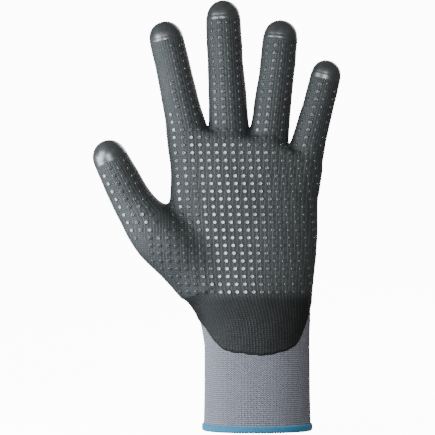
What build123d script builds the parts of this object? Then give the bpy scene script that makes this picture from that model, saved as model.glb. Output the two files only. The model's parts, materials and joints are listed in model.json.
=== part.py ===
"""Knitted work glove for the left hand, in the shape it has when worn.

A light grey knitted liner is dipped in foam nitrile on its palm side, and nitrile dots are printed on
the coating. The cuff is elastic and its edge is overlocked with blue yarn.

Millimetres. The origin is the centre of the cuff's opening. +Z runs to the fingertips, -Y is the
palm side, and the thumb is on the -X side. The glove bends at the hand's joints, so its liner, coating
and dots are each made as one piece per bone.
"""

from build123d import *
from math import cos, radians, sin, tan
import os

# ---- cloth and coating ----
KNIT = 1.0  # thickness of the knitted liner
COAT = 0.6  # thickness of the nitrile coating
WRAP = 3.0  # how far the coating reaches behind the glove's widest line
SEAM = 0.15  # half of the gap between neighbouring pieces
DOT_RADIUS = 1.15
DOT_HEIGHT = 0.45
DOT_SUNK = 0.2  # depth of a dot's root in the coating
DOT_ROW = 4.45  # spacing of the dots along the hand
DOT_COLUMN = 4.7  # spacing of the dots across the hand
DOT_LEAN = 5.0  # degrees by which the palm's columns lean

# ---- cuff ----
CUFF_HALF_WIDTH = 30.8
CUFF_HALF_DEPTH = 21.0
WRIST = 60.0  # height of the wrist's hinge
WRIST_BEND = 25.0  # degrees, both ways
HEM_HEIGHT = 3.4
HEM_PROUD = 0.6  # how far the hem's yarn stands out of the knit, inside and outside
HEM_TURN = 0.8  # yarn below the knit's edge
ELASTIC_RINGS = 14
ELASTIC_FROM = 4.4  # height of the lowest ring
ELASTIC_PITCH = 3.5
ELASTIC_HEIGHT = 0.8
ELASTIC_DEPTH = 0.4
FOLD_ROWS = 14.0  # the knit folds within this far of the wrist
FOLD_FROM = 4.0  # and this far from the glove's widest line

# ---- hand: height, left edge, right edge, half depth; its sides are round ----
HAND_SECTIONS = (
    (60, -30.8, 30.8, 20.9),
    (74, -37.8, 30.8, 18.6),
    (88, -44.0, 32.4, 16.8),
    (101, -48.0, 34.2, 15.6),
    (132, -50.8, 34.8, 14.2),
    (154, -49.8, 37.0, 12.8),
)
HAND_TOP = (-6.2, 164.8, 44.4, 10.2)  # x, z, half width, half depth
HAND_TOP_TILT = 7.0  # degrees by which the knuckle line falls to the little finger

# ---- lower edge of the coating, from the thumb side to the other side: x, z ----
COATING_EDGE = ((-40, 72), (-31, 61), (-24, 50.5), (-10, 45.4), (8, 45), (21, 48.5), (28, 60), (36, 76))
COATING_LOW = 40.0
COATING_TOP = 260.0
DOTS_FROM = 80.0  # the plain band above the coating's edge ends here in the middle of the palm
DOTS_RISE = 60.0  # and this much higher at 100 mm from the middle
DOT_CENTRE = (-6.0, 125.0)  # x and z of the dot in the middle of the palm
DOT_ROWS = 14  # rows above and below it
DOT_COLUMNS = 18  # columns on either side of it

# ---- digits ----
HINGE_DROP = 2.5  # hinges lie this far on the palm side of a digit's middle
CAP = 9.0  # length of the undotted fingertip
CAP_SLOPE = 6.0  # length over which the tip's coating climbs to the back
NOTCH_DEPTH = 30.0  # half size of the wedges that cut the pieces apart
REACH = 64.0  # longest stretch of a digit past a hinge

# name: root point, lean to the right and forward, hinge distances, their bends, length, tip's radius,
# and sections: distance from the root, radius, shift across, shift to the back
DIGITS = {
    "index": dict(
        root=(-40.3, 0, 172), lean=-12.5, forward=0, hinges=(7.0, 24.0, 45.0), bends=(65, 80, 48),
        length=66.9, tip=9.5,
        sections=((-30, 9.0, 0, 0), (-6, 12.2, 0, 0), (4, 11.2, 0, 0), (24, 10.0, 0, 0), (45, 9.8, 0, 0)),
    ),
    "middle": dict(
        root=(-16.2, 0, 173), lean=-3.0, forward=0, hinges=(7.0, 27.6, 51.5), bends=(65, 80, 48),
        length=76.8, tip=9.3,
        sections=((-30, 9.0, 0, 0), (-6, 12.1, 0, 0), (4, 11.1, 0, 0), (27.6, 10.4, 0, 0), (51.5, 9.9, 0, 0)),
    ),
    "ring": dict(
        root=(6.8, 0, 169), lean=6.6, forward=0, hinges=(9.0, 25.0, 46.8), bends=(65, 80, 48),
        length=69.8, tip=9.4,
        sections=((-30, 9.0, 0, 0), (-4, 11.9, 0, 0), (6, 10.8, 0, 0), (25, 10.1, 0, 0), (46.8, 9.8, 0, 0)),
    ),
    "little": dict(
        root=(28.8, 0, 162), lean=14.2, forward=0, hinges=(6.0, 19.5, 36.3), bends=(65, 75, 45),
        length=54.2, tip=8.2,
        sections=((-30, 8.0, 0, 0), (-6, 10.9, 0, 0), (4, 9.8, 0, 0), (19.5, 9.0, 0, 0), (36.3, 8.5, 0, 0)),
    ),
    "thumb": dict(
        root=(-67.6, -6, 123.5), lean=-26.4, forward=8, hinges=(4.0, 18.0), bends=(40, 55),
        length=49.0, tip=9.6,
        sections=((-56, 10.5, 13, -3), (-40, 16.0, 13.0, -3), (-20, 16.8, 7.2, -3), (-9, 15.0, 4.4, -2),
                  (4, 12.2, 1.5, -1), (11, 11.1, 0.2, 0), (18, 10.8, 0, 0), (31, 10.3, 0, 0)),
    ),
}
BONES = {3: ("base", "middle", "tip"), 2: ("base", "tip")}  # a digit's pieces, by its number of hinges
THUMB_SWING = 60.0  # degrees from across the palm to straight at it
DOT_OFFSETS = (-6.6, -2.2, 2.2, 6.6)  # columns of dots across a digit
DOT_EDGE = 2.4  # dots stay this far inside a digit's outline
DOT_SEAM = DOT_RADIUS + 0.4  # and this far from a hinge's plane
STEEPEST = 0.5  # least lean of a dot's top towards the palm side
KNUCKLE_REACH = 18.0  # radius round a knuckle's hinge within which its plane parts the dots
HALF_WIDTH = 100.0  # wider than the glove on either side


def finish(builder, name):
    """Names a piece and writes it."""
    builder.part.label = name
    export_step(builder.part, f"parts/{name}.step")


def cuff_slot(grow, mode=Mode.ADD):
    """The cuff's outline, grown all round by grow, in the current sketch."""
    SlotOverall(2 * (CUFF_HALF_WIDTH + grow), 2 * (CUFF_HALF_DEPTH + grow), mode=mode)


def cuff_form(grow, low=0.0, high=WRIST):
    """The cuff between two heights, grown all round by grow."""
    with BuildPart() as form:
        with BuildSketch(Plane.XY.offset(low)) as outline:
            SlotOverall(2 * (CUFF_HALF_WIDTH + grow), 2 * (CUFF_HALF_DEPTH + grow))
        extrude(outline.sketch, amount=high - low)
    return form.part


def hand_form(grow):
    """The palm without the digits, from the wrist up, grown all round by grow."""
    x_top, z_top, half_width, half_depth = HAND_TOP
    tilt = radians(HAND_TOP_TILT)
    top = Plane((x_top, 0, z_top + grow), x_dir=(cos(tilt), 0, -sin(tilt)), z_dir=(sin(tilt), 0, cos(tilt)))
    planes = [(Plane(((left + right) / 2, 0, height)), (right - left) / 2, depth)
              for height, left, right, depth in HAND_SECTIONS]
    planes.append((top, half_width, half_depth))
    with BuildPart() as form:
        for plane, wide, deep in planes:
            with BuildSketch(plane):
                SlotOverall(2 * (wide + grow), 2 * (deep + grow))
        loft(ruled=True)
    return form.part


def digit_plane(digit, distance):
    """The plane across a digit at a distance from its root: x across the hand, y to the back."""
    lean, forward = radians(digit["lean"]), radians(digit["forward"])
    along = Vector(sin(lean) * cos(forward), -sin(forward), cos(lean) * cos(forward))
    across = Vector(cos(lean), 0, -sin(lean))
    return Plane(Vector(*digit["root"]) + along * distance, x_dir=across, z_dir=along)


def digit_form(digit, grow):
    """A digit from well inside the palm to its rounded tip, grown all round by grow."""
    rows = [*digit["sections"], (digit["length"] - digit["tip"], digit["tip"], 0, 0)]
    with BuildPart() as form:
        for near, far in zip(rows, rows[1:]):
            for distance, radius, shift, back in (near, far):
                with BuildSketch(digit_plane(digit, distance)):
                    with Locations((shift, back)):
                        Circle(radius + grow)
            loft(ruled=True)
        with Locations(digit_plane(digit, digit["length"] - digit["tip"])):
            Sphere(digit["tip"] + grow)
    return form.part


def hinge_plane(digit, number):
    """A hinge's plane: x along the digit, y the way it bends, z the hinge's axis."""
    cross = digit_plane(digit, digit["hinges"][number])
    if digit["forward"]:
        swing = radians(THUMB_SWING)
        bend = cross.x_dir * cos(swing) - cross.y_dir * sin(swing)
        along = cross.z_dir
    else:
        bend = -cross.y_dir
        along = cross.z_dir if number else Vector(0, 0, 1)
    return Plane(cross.origin + bend * HINGE_DROP, x_dir=along, z_dir=along.cross(bend))


def joint_space(plane, side, bend=0.0, both_ways=False, reach=REACH):
    """The room of one side of a hinge (1 past it, -1 before it), less its share of the bend."""
    slope = tan(radians(bend / 2)) * NOTCH_DEPTH
    back_slope = slope if both_ways else 0.0
    with BuildPart() as space:
        with BuildSketch(plane):
            with BuildLine():
                Polyline(
                    (side * (SEAM + back_slope), -NOTCH_DEPTH),
                    (side * SEAM, 0),
                    (side * (SEAM + slope), NOTCH_DEPTH),
                    (side * reach, NOTCH_DEPTH),
                    (side * reach, -NOTCH_DEPTH),
                    close=True,
                )
            make_face()
        extrude(amount=HALF_WIDTH, both=True)
    return space.part


def coated_side(digit):
    """The coated part of a digit: its palm side and sides, and all round its tip."""
    cross = digit_plane(digit, 0)
    side = Plane(cross.origin, x_dir=cross.z_dir, z_dir=cross.z_dir.cross(cross.y_dir))
    behind = 2 * digit["tip"]
    with BuildPart() as space:
        with BuildSketch(side):
            with BuildLine():
                Polyline(
                    (-REACH, -NOTCH_DEPTH),
                    (-REACH, WRAP),
                    (digit["length"] - CAP - CAP_SLOPE, WRAP),
                    (digit["length"] - CAP, behind),
                    (2 * REACH, behind),
                    (2 * REACH, -NOTCH_DEPTH),
                    close=True,
                )
            make_face()
        extrude(amount=HALF_WIDTH, both=True)
    return space.part


def half_width_at(digit, distance):
    """The digit's half width at a distance from its root, between its sections."""
    rows = [section[:2] for section in digit["sections"]]
    rows.append((digit["length"] - digit["tip"], digit["tip"]))
    for (near, wide), (far, narrow) in zip(rows, rows[1:]):
        if near <= distance <= far:
            return wide + (narrow - wide) * (distance - near) / (far - near)
    return digit["tip"]


def dot_plane(form, start, direction):
    """The plane that a dot stands on, where a line from start first meets the coating."""
    hits = form.find_intersection_points(Axis(start, direction))
    if not hits:
        return None
    point, normal = min(hits, key=lambda hit: (hit[0] - start).dot(direction))
    if normal.dot(direction) > 0:
        normal = -normal
    if -normal.dot(direction) < STEEPEST:
        return None
    return Plane(point, z_dir=normal)


def clear_of_hinge(plane, point, side):
    """Whether a dot at a point stands wholly on one side of a hinge, or far away from it."""
    past = (point - plane.origin).dot(plane.x_dir)
    return side * past > DOT_SEAM or (point - plane.origin).length > KNUCKLE_REACH


def write_dots(planes, name, liner):
    """A group of separate dots, each standing in the coating and none reaching the liner."""
    with BuildPart() as dots:
        with Locations(*[plane.offset(-DOT_SUNK) for plane in planes]):
            Cylinder(DOT_RADIUS, DOT_SUNK + DOT_HEIGHT, align=(Align.CENTER, Align.CENTER, Align.MIN))
        add(liner, mode=Mode.SUBTRACT)
    finish(dots, name)


os.makedirs("parts", exist_ok=True)

# ---- shared forms: the liner's outside (0), its inside (-KNIT) and the coating's outside (COAT) ----
SKINS = (0.0, -KNIT, COAT)
hand = {grow: hand_form(grow) for grow in SKINS}
forms = {name: {grow: digit_form(digit, grow) for grow in SKINS} for name, digit in DIGITS.items()}
wrist = Plane((0, 0, WRIST), x_dir=(0, 0, 1), z_dir=(1, 0, 0))
below_wrist = joint_space(wrist, -1, WRIST_BEND, both_ways=True)
above_wrist = joint_space(wrist, 1, WRIST_BEND, both_ways=True, reach=COATING_TOP)

# ---- cuff: elastic yarn, knit and hem ----
with BuildPart() as cuff_elastic:
    for ring in range(ELASTIC_RINGS):
        with BuildSketch(Plane.XY.offset(ELASTIC_FROM + ring * ELASTIC_PITCH)):
            cuff_slot(ELASTIC_DEPTH - KNIT)
            cuff_slot(-KNIT, Mode.SUBTRACT)
        extrude(amount=ELASTIC_HEIGHT)
finish(cuff_elastic, "cuff_elastic")

cuff_outside = cuff_form(0.0, HEM_TURN)
cuff_inside = cuff_form(-KNIT)
with BuildPart() as cuff_knit:
    add(cuff_outside)
    add(cuff_inside, mode=Mode.SUBTRACT)
    add(below_wrist, mode=Mode.INTERSECT)
    add(cuff_elastic.part, mode=Mode.SUBTRACT)
finish(cuff_knit, "cuff_knit")

with BuildPart() as cuff_hem:
    with BuildSketch(Plane.XY):
        cuff_slot(HEM_PROUD)
        cuff_slot(-KNIT - HEM_PROUD, Mode.SUBTRACT)
    extrude(amount=HEM_HEIGHT)
    with BuildSketch(Plane.XY.offset(HEM_TURN)):
        cuff_slot(0.0)
        cuff_slot(-KNIT, Mode.SUBTRACT)
    extrude(amount=HEM_HEIGHT, mode=Mode.SUBTRACT)
finish(cuff_hem, "cuff_hem")

# ---- the knit that folds at the wrist: wedges on the front and the back, below and above the hinge ----
palm_edge = Plane((0, 0, WRIST - SEAM), x_dir=(0, 0, 1), z_dir=(1, 0, 0))
palm_room = joint_space(palm_edge, 1, WRIST_BEND, both_ways=True, reach=COATING_TOP)
fold_below = cuff_form(0.0, WRIST - FOLD_ROWS, WRIST - SEAM)
with BuildPart() as fold_above:
    add(hand[0.0])
    add(hand[-KNIT], mode=Mode.SUBTRACT)
    add(palm_room, mode=Mode.SUBTRACT)
with BuildPart() as wrist_fold:
    add(fold_below)
    add(cuff_inside, mode=Mode.SUBTRACT)
    add(below_wrist, mode=Mode.SUBTRACT)
    add(fold_above.part)
    with BuildSketch(Plane.XY):
        Rectangle(2 * HALF_WIDTH, 2 * FOLD_FROM)
    extrude(amount=2 * WRIST, mode=Mode.SUBTRACT)
finish(wrist_fold, "wrist_fold")

# ---- palm: liner, coating and dots ----
hinges = {
    name: [hinge_plane(digit, number) for number in range(len(digit["hinges"]))]
    for name, digit in DIGITS.items()
}
notched_roots = {
    name: joint_space(hinges[name][0], -1, digit["bends"][0]) for name, digit in DIGITS.items()
}
plain_roots = {name: joint_space(hinges[name][0], -1) for name in DIGITS}


def rooted_hand(grow, rooms):
    """The hand with a digit's root at each knuckle, each as far as its room allows."""
    roots = []
    for name in DIGITS:
        with BuildPart() as root:
            add(forms[name][grow])
            add(rooms[name], mode=Mode.INTERSECT)
        roots.append(root.part)
    with BuildPart() as block:
        add(hand[grow])
        add(roots)
    return block.part


liner_block = rooted_hand(0.0, notched_roots)
rooted_coating = rooted_hand(COAT, plain_roots)
coated_cuff = cuff_form(COAT, COATING_LOW)
with BuildPart() as coating_block:
    add(rooted_coating)
    add(coated_cuff)

with BuildPart() as palm_liner:
    add(liner_block)
    add(hand[-KNIT], mode=Mode.SUBTRACT)
    for name in DIGITS:
        add(forms[name][-KNIT], mode=Mode.SUBTRACT)
    add(above_wrist, mode=Mode.INTERSECT)
finish(palm_liner, "palm_liner")

with BuildPart() as palm_zone:
    with BuildSketch(Plane.XZ.offset(-WRAP)):
        with BuildLine():
            edge = Spline(*COATING_EDGE)
            Polyline(
                edge @ 1,
                (HALF_WIDTH, COATING_EDGE[-1][1]),
                (HALF_WIDTH, COATING_TOP),
                (-HALF_WIDTH, COATING_TOP),
                (-HALF_WIDTH, COATING_EDGE[0][1]),
                edge @ 0,
            )
        make_face()
    extrude(amount=HALF_WIDTH)

with BuildPart() as palm_coating:
    add(coating_block.part)
    add(cuff_outside, mode=Mode.SUBTRACT)
    add(hand[0.0], mode=Mode.SUBTRACT)
    for name in DIGITS:
        add(forms[name][0.0], mode=Mode.SUBTRACT)
    add(palm_zone.part, mode=Mode.INTERSECT)
finish(palm_coating, "palm_coating")

inward = Vector(0, 1, 0)
lean = radians(DOT_LEAN)
palm_dots = []
for row in range(-DOT_ROWS, DOT_ROWS + 1):
    for column in range(-DOT_COLUMNS, DOT_COLUMNS + 1):
        across, up = column * DOT_COLUMN, row * DOT_ROW
        x = DOT_CENTRE[0] + across - up * tan(lean)
        z = DOT_CENTRE[1] + up
        if z < DOTS_FROM + DOTS_RISE * (x / HALF_WIDTH) ** 2:
            continue
        spot = dot_plane(rooted_coating, Vector(x, -HALF_WIDTH, z), inward)
        if spot and all(clear_of_hinge(hinge[0], spot.origin, -1) for hinge in hinges.values()):
            palm_dots.append(spot)
write_dots(palm_dots, "palm_dots", palm_liner.part)

# ---- digits: liner, coating and dots of each bone ----
for name, digit in DIGITS.items():
    bones = BONES[len(digit["hinges"])]
    ends = (*digit["hinges"], digit["length"] - CAP)
    coated = coated_side(digit)
    for number, bone in enumerate(bones):
        near, far = hinges[name][number], (hinges[name] + [None])[number + 1]
        notched = [joint_space(near, 1, digit["bends"][number])]
        plain = [joint_space(near, 1)]
        if far:
            notched.append(joint_space(far, -1, digit["bends"][number + 1]))
            plain.append(joint_space(far, -1))

        with BuildPart() as liner:
            add(forms[name][0.0])
            add(forms[name][-KNIT], mode=Mode.SUBTRACT)
            for room in notched:
                add(room, mode=Mode.INTERSECT)
        finish(liner, f"{name}_{bone}_liner")

        with BuildPart() as coating:
            add(forms[name][COAT])
            add(forms[name][0.0], mode=Mode.SUBTRACT)
            add(coated, mode=Mode.INTERSECT)
            for room in plain:
                add(room, mode=Mode.INTERSECT)
        finish(coating, f"{name}_{bone}_coating")

        rows = max(1, round((ends[number + 1] - ends[number]) / DOT_ROW))
        spots = []
        for row in range(rows):
            distance = ends[number] + (ends[number + 1] - ends[number]) * (row + 0.5) / rows
            cross = digit_plane(digit, distance)
            for offset in DOT_OFFSETS:
                if abs(offset) > half_width_at(digit, distance) - DOT_EDGE:
                    continue
                start = cross.origin + cross.x_dir * offset - cross.y_dir * HALF_WIDTH
                spot = dot_plane(forms[name][COAT], start, cross.y_dir)
                if not spot or not clear_of_hinge(near, spot.origin, 1):
                    continue
                if not far or clear_of_hinge(far, spot.origin, -1):
                    spots.append(spot)
        write_dots(spots, f"{name}_{bone}_dots", liner.part)
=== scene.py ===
"""Looks of the left-hand work glove: grey knit, dark foam-nitrile palm, raised dots, blue overlocked hem.

One smooth skin is worked out for the whole glove, then cut into pieces that each lie over one joint.
Shapes are worked out in millimetres and turned into metres when a mesh is made.
"""

import json
import math

import bpy
import numpy as np
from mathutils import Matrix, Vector


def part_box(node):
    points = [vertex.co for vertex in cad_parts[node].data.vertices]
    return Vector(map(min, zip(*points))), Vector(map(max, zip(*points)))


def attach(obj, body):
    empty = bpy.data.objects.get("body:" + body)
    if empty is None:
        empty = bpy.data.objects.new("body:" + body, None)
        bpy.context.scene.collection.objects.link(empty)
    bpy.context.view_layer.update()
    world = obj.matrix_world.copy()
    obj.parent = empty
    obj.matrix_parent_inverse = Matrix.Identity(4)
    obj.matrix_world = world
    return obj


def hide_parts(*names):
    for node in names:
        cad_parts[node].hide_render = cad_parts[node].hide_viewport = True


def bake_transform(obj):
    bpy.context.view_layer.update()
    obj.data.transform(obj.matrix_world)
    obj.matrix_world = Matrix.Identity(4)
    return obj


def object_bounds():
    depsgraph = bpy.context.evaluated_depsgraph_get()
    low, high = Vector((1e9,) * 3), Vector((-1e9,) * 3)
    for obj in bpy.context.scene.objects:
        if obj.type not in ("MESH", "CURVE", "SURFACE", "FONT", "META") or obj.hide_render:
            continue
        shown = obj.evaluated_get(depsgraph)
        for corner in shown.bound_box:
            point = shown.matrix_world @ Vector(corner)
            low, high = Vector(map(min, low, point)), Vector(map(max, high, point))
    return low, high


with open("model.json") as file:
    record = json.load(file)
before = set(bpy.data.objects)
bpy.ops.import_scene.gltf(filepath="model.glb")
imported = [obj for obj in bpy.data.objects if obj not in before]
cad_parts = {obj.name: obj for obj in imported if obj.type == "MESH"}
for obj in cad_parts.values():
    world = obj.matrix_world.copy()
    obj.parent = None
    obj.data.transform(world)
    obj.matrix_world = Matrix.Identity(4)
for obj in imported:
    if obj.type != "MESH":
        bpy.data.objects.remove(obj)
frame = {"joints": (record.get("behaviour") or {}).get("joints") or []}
cad_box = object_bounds()

MM = 0.001
JOINTS = {joint["name"]: joint for joint in frame["joints"]}

# ---- driving dimensions, in millimetres ----
GRID = 1.0  # cell of the grid that the skin is first drawn on
COAT = 0.5  # how far the coating stands out of the knit
COAT_RIM = 1.1  # width over which its edge rounds down to the knit
COAT_BEHIND = 3.0  # how far it reaches behind the glove's widest line
HINGE_DROP = 2.5  # hinges lie this far on the palm side of a digit's middle
FLATNESS = 0.9  # depth of a digit over its width
CAP = 11.6  # length of the smooth glossy fingertip
TIP_COVER = 13.0  # length of fingertip that is coated all round
HEM_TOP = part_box("cuff_hem")[1].z / MM

# ---- the hand's cross-sections: height, left edge, right edge, front, back, squareness ----
HAND = np.array((
    (-4, -31.3, 31.5, 20.6, 20.6, 2.15),
    (10, -30.9, 31.1, 20.4, 20.4, 2.15),
    (25, -30.6, 30.8, 20.1, 20.1, 2.2),
    (48, -30.7, 30.7, 19.8, 19.6, 2.2),
    (60, -32.0, 30.7, 19.2, 18.8, 2.2),
    (67, -34.2, 30.8, 18.6, 18.2, 2.25),
    (74, -39.4, 31.1, 18.0, 17.4, 2.3),
    (81, -44.8, 31.8, 17.3, 16.8, 2.35),
    (88, -47.6, 32.6, 16.6, 16.2, 2.4),
    (101, -49.0, 34.2, 15.4, 15.4, 2.5),
    (116, -49.4, 34.6, 14.6, 14.8, 2.6),
    (132, -50.6, 34.8, 14.2, 14.4, 2.7),
    (148, -49.2, 35.9, 13.6, 13.8, 2.7),
    (160, -49.6, 37.6, 12.4, 12.6, 2.7),
    (176, -50.6, 38.6, 11.0, 11.2, 2.7),
))
KNUCKLE_LINE = (-6.2, 170.5, math.radians(7.0))  # x and z of the palm's top, and its slope
LITTLE_LINE = (8.0, 168.5, math.radians(28.0))  # the same below the little finger
KNUCKLE_ROUND = 5.0
ROOT_JOIN = 4.0  # rounding between the digits and the palm
THUMB_JOIN = 9.0

# half widths of the digits, by distance from the fingertip's end
FINGER_WIDTHS = {
    "index": (
        (0, 9.4), (10, 9.6), (22, 9.75), (32, 9.6), (43, 10.0),
        (54, 10.6), (62, 11.2), (72, 11.8), (100, 12.0),
    ),
    "middle": (
        (0, 9.1), (10, 9.4), (25, 9.9), (36, 9.8), (49, 10.5),
        (62, 10.7), (72, 11.0), (84, 11.4), (110, 12.0),
    ),
    "ring": (
        (0, 9.3), (10, 9.6), (23, 9.85), (34, 9.7), (45, 10.2),
        (56, 10.4), (65, 10.8), (75, 11.2), (100, 12.0),
    ),
    "little": (
        (0, 8.1), (9, 8.3), (18, 8.5), (26, 8.45), (35, 8.9),
        (44, 9.2), (50, 9.7), (58, 10.2), (84, 11.0),
    ),
}
FINGERS = tuple(FINGER_WIDTHS)
# the thumb and its ball: distance from the end joint, half width, half depth, shift across, shift back
THUMB = np.array((
    (-76, 9.0, 11.0, 14.0, -2.5),
    (-62, 14.5, 13.2, 14.0, -2.4),
    (-50, 17.0, 13.8, 12.0, -2.6),
    (-38, 17.6, 14.0, 8.2, -2.6),
    (-27, 15.6, 13.4, 4.6, -2.2),
    (-14, 12.4, 11.0, 1.5, -1.0),
    (-6, 11.2, 9.9, 0.2, 0.0),
    (0, 10.9, 9.6, 0.0, 0.0),
    (13, 10.3, 9.1, 0.0, 0.0),
    (21.4, 9.6, 8.6, 0.0, 0.0),
))


def unit(vector):
    """A vector of length one."""
    return vector / np.linalg.norm(vector)


class Digit:
    """A digit's straight middle line and local directions, read from its joints."""

    def __init__(self, name, joint_names, tip_radius):
        self.name = name
        self.joints = [JOINTS[joint] for joint in joint_names]
        self.tip_radius = tip_radius
        places = [np.array(joint["pos_m"]) / MM for joint in self.joints]
        axis = unit(np.array(self.joints[-1]["axis"]))
        self.along = unit(places[-1] - places[-2])
        bend = np.cross(axis, self.along)
        self.centre = places[-1] - bend * HINGE_DROP
        self.across = unit(np.cross(np.array((0, 1.0, 0)), self.along))
        self.back = np.cross(self.along, self.across)
        self.bend = bend
        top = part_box(f"{name}_tip_liner")[1].z / MM
        self.dome = (top - tip_radius - self.centre[2]) / self.along[2]
        self.end = self.dome + tip_radius
        self.hinges = [float((place - self.centre) @ self.along) for place in places]

    def local(self, points):
        """Distance along, across and to the back of points, from the digit's last hinge."""
        away = points - self.centre
        return away @ self.along, away @ self.across, away @ self.back

    def point(self, distance):
        """A point on the digit's middle line, in metres."""
        return Vector((self.centre + self.along * distance) * MM)


DIGITS = {
    "index": Digit("index", ("index_knuckle", "index_middle_joint", "index_end_joint"), 9.4),
    "middle": Digit("middle", ("middle_knuckle", "middle_middle_joint", "middle_end_joint"), 9.1),
    "ring": Digit("ring", ("ring_knuckle", "ring_middle_joint", "ring_end_joint"), 9.3),
    "little": Digit("little", ("little_knuckle", "little_middle_joint", "little_end_joint"), 8.1),
    "thumb": Digit("thumb", ("thumb_knuckle", "thumb_end_joint"), 9.6),
}


# ---- the glove's form, as a field that is negative inside ----
ROW_STEPS = 400  # places at which a table is read before it is smoothed
ROW_REACH = 20  # steps on either side that smoothing takes in
ROW_SMOOTHING = 4.0  # width of the smoothing
FAR_INSIDE = -8.0  # the hand's field near its middle line
MIDDLE_SHARE = 0.3  # share of the hand's width that counts as near its middle line
FINGER_FOOT = 8.0  # a finger's field ends this far below its first row
THUMB_FIELD_FOOT = 6.0  # and the thumb's this far
FLATTEST = 0.05  # least squared slope of the field that a point is moved by


def smooth_rows(rows, at):
    """Each column of rows, read smoothly at its first column's values."""
    keys = rows[:, 0]
    place = np.clip(at, keys[0], keys[-1])
    fine = np.linspace(keys[0], keys[-1], ROW_STEPS)
    step = fine[1] - fine[0]
    kernel = np.exp(-0.5 * (np.arange(-ROW_REACH, ROW_REACH + 1) * step / ROW_SMOOTHING) ** 2)
    kernel /= kernel.sum()
    out = []
    for column in range(1, rows.shape[1]):
        line = np.interp(fine, keys, rows[:, column])
        padded = np.concatenate((np.full(ROW_REACH, line[0]), line, np.full(ROW_REACH, line[-1])))
        out.append(np.interp(place, fine, np.convolve(padded, kernel, "valid")))
    return out


def join(a, b, rounding):
    """A smooth union of two fields."""
    mix = np.clip(0.5 + 0.5 * (b - a) / rounding, 0, 1)
    return b + (a - b) * mix - rounding * mix * (1 - mix)


def hand_field(p):
    """The cuff and palm."""
    left, right, front, back, square = smooth_rows(HAND, p[:, 2])
    middle, half = (left + right) / 2, (right - left) / 2
    depth = np.where(p[:, 1] < 0, front, back)
    u, v = np.abs(p[:, 0] - middle) / half, np.abs(p[:, 1]) / depth
    reach = (u**square + v**square + 1e-9) ** (1 / square)
    near = np.hypot(p[:, 0] - middle, p[:, 1])
    body = near * (1 - 1 / np.maximum(reach, 1e-3))
    body = np.where(reach < MIDDLE_SHARE, FAR_INSIDE, body)
    x_top, z_top, slope = KNUCKLE_LINE
    cap = (p[:, 2] - z_top) * math.cos(slope) + (p[:, 0] - x_top) * math.sin(slope)
    x_top, z_top, slope = LITTLE_LINE
    cap = np.maximum(cap, (p[:, 2] - z_top) * math.cos(slope) + (p[:, 0] - x_top) * math.sin(slope))
    mix = np.clip(0.5 + 0.5 * (body - cap) / KNUCKLE_ROUND, 0, 1)
    return cap + (body - cap) * mix + KNUCKLE_ROUND * mix * (1 - mix)


def finger_field(digit, p):
    """A finger with its rounded tip."""
    s, u, v = digit.local(p)
    rows = np.array([(digit.end - d, w) for d, w in FINGER_WIDTHS[digit.name]][::-1])
    (radius,) = smooth_rows(rows, s)
    over = np.maximum(s - digit.dome, 0)
    under = np.maximum(rows[0, 0] + FINGER_FOOT - s, 0)
    ring = np.hypot(u, v / FLATNESS)
    radius = np.where(s > digit.dome, digit.tip_radius, radius)
    return np.sqrt(ring**2 + over**2) - radius + under


def thumb_field(digit, p):
    """The thumb with the ball of the thumb."""
    s, u, v = digit.local(p)
    wide, deep, shift, back = smooth_rows(THUMB, s)
    over = np.maximum(s - digit.dome, 0)
    under = np.maximum(THUMB[0, 0] + THUMB_FIELD_FOOT - s, 0)
    scale = wide / deep
    ring = np.hypot(u - shift, (v - back) * scale)
    wide = np.where(s > digit.dome, digit.tip_radius, wide)
    return np.sqrt(ring**2 + over**2) - wide + under


def glove_field(p):
    """The whole glove, in millimetres, negative inside."""
    field = hand_field(p)
    for name in FINGERS:
        near = finger_field(DIGITS[name], p)
        field = join(field, near, ROOT_JOIN)
    return join(field, thumb_field(DIGITS["thumb"], p), THUMB_JOIN)


def field_gradient(p, step=0.2):
    """Central differences of the glove's field."""
    out = np.empty_like(p)
    for k in range(3):
        shift = np.zeros(3)
        shift[k] = step
        out[:, k] = (glove_field(p + shift) - glove_field(p - shift)) / (2 * step)
    return out


def onto_skin(p, rounds=3):
    """Points moved to the glove's surface."""
    for _ in range(rounds):
        slope = field_gradient(p)
        p = p - slope * (glove_field(p) / np.maximum((slope**2).sum(1), FLATTEST))[:, None]
    return p


GRID_MARGIN = 4.0  # room left round the box of the CAD
SKIN_START = HEM_TOP - 2.0  # the skin begins inside the hem
EVENNESS = 0.6  # share of the way that relaxing moves a point


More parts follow.
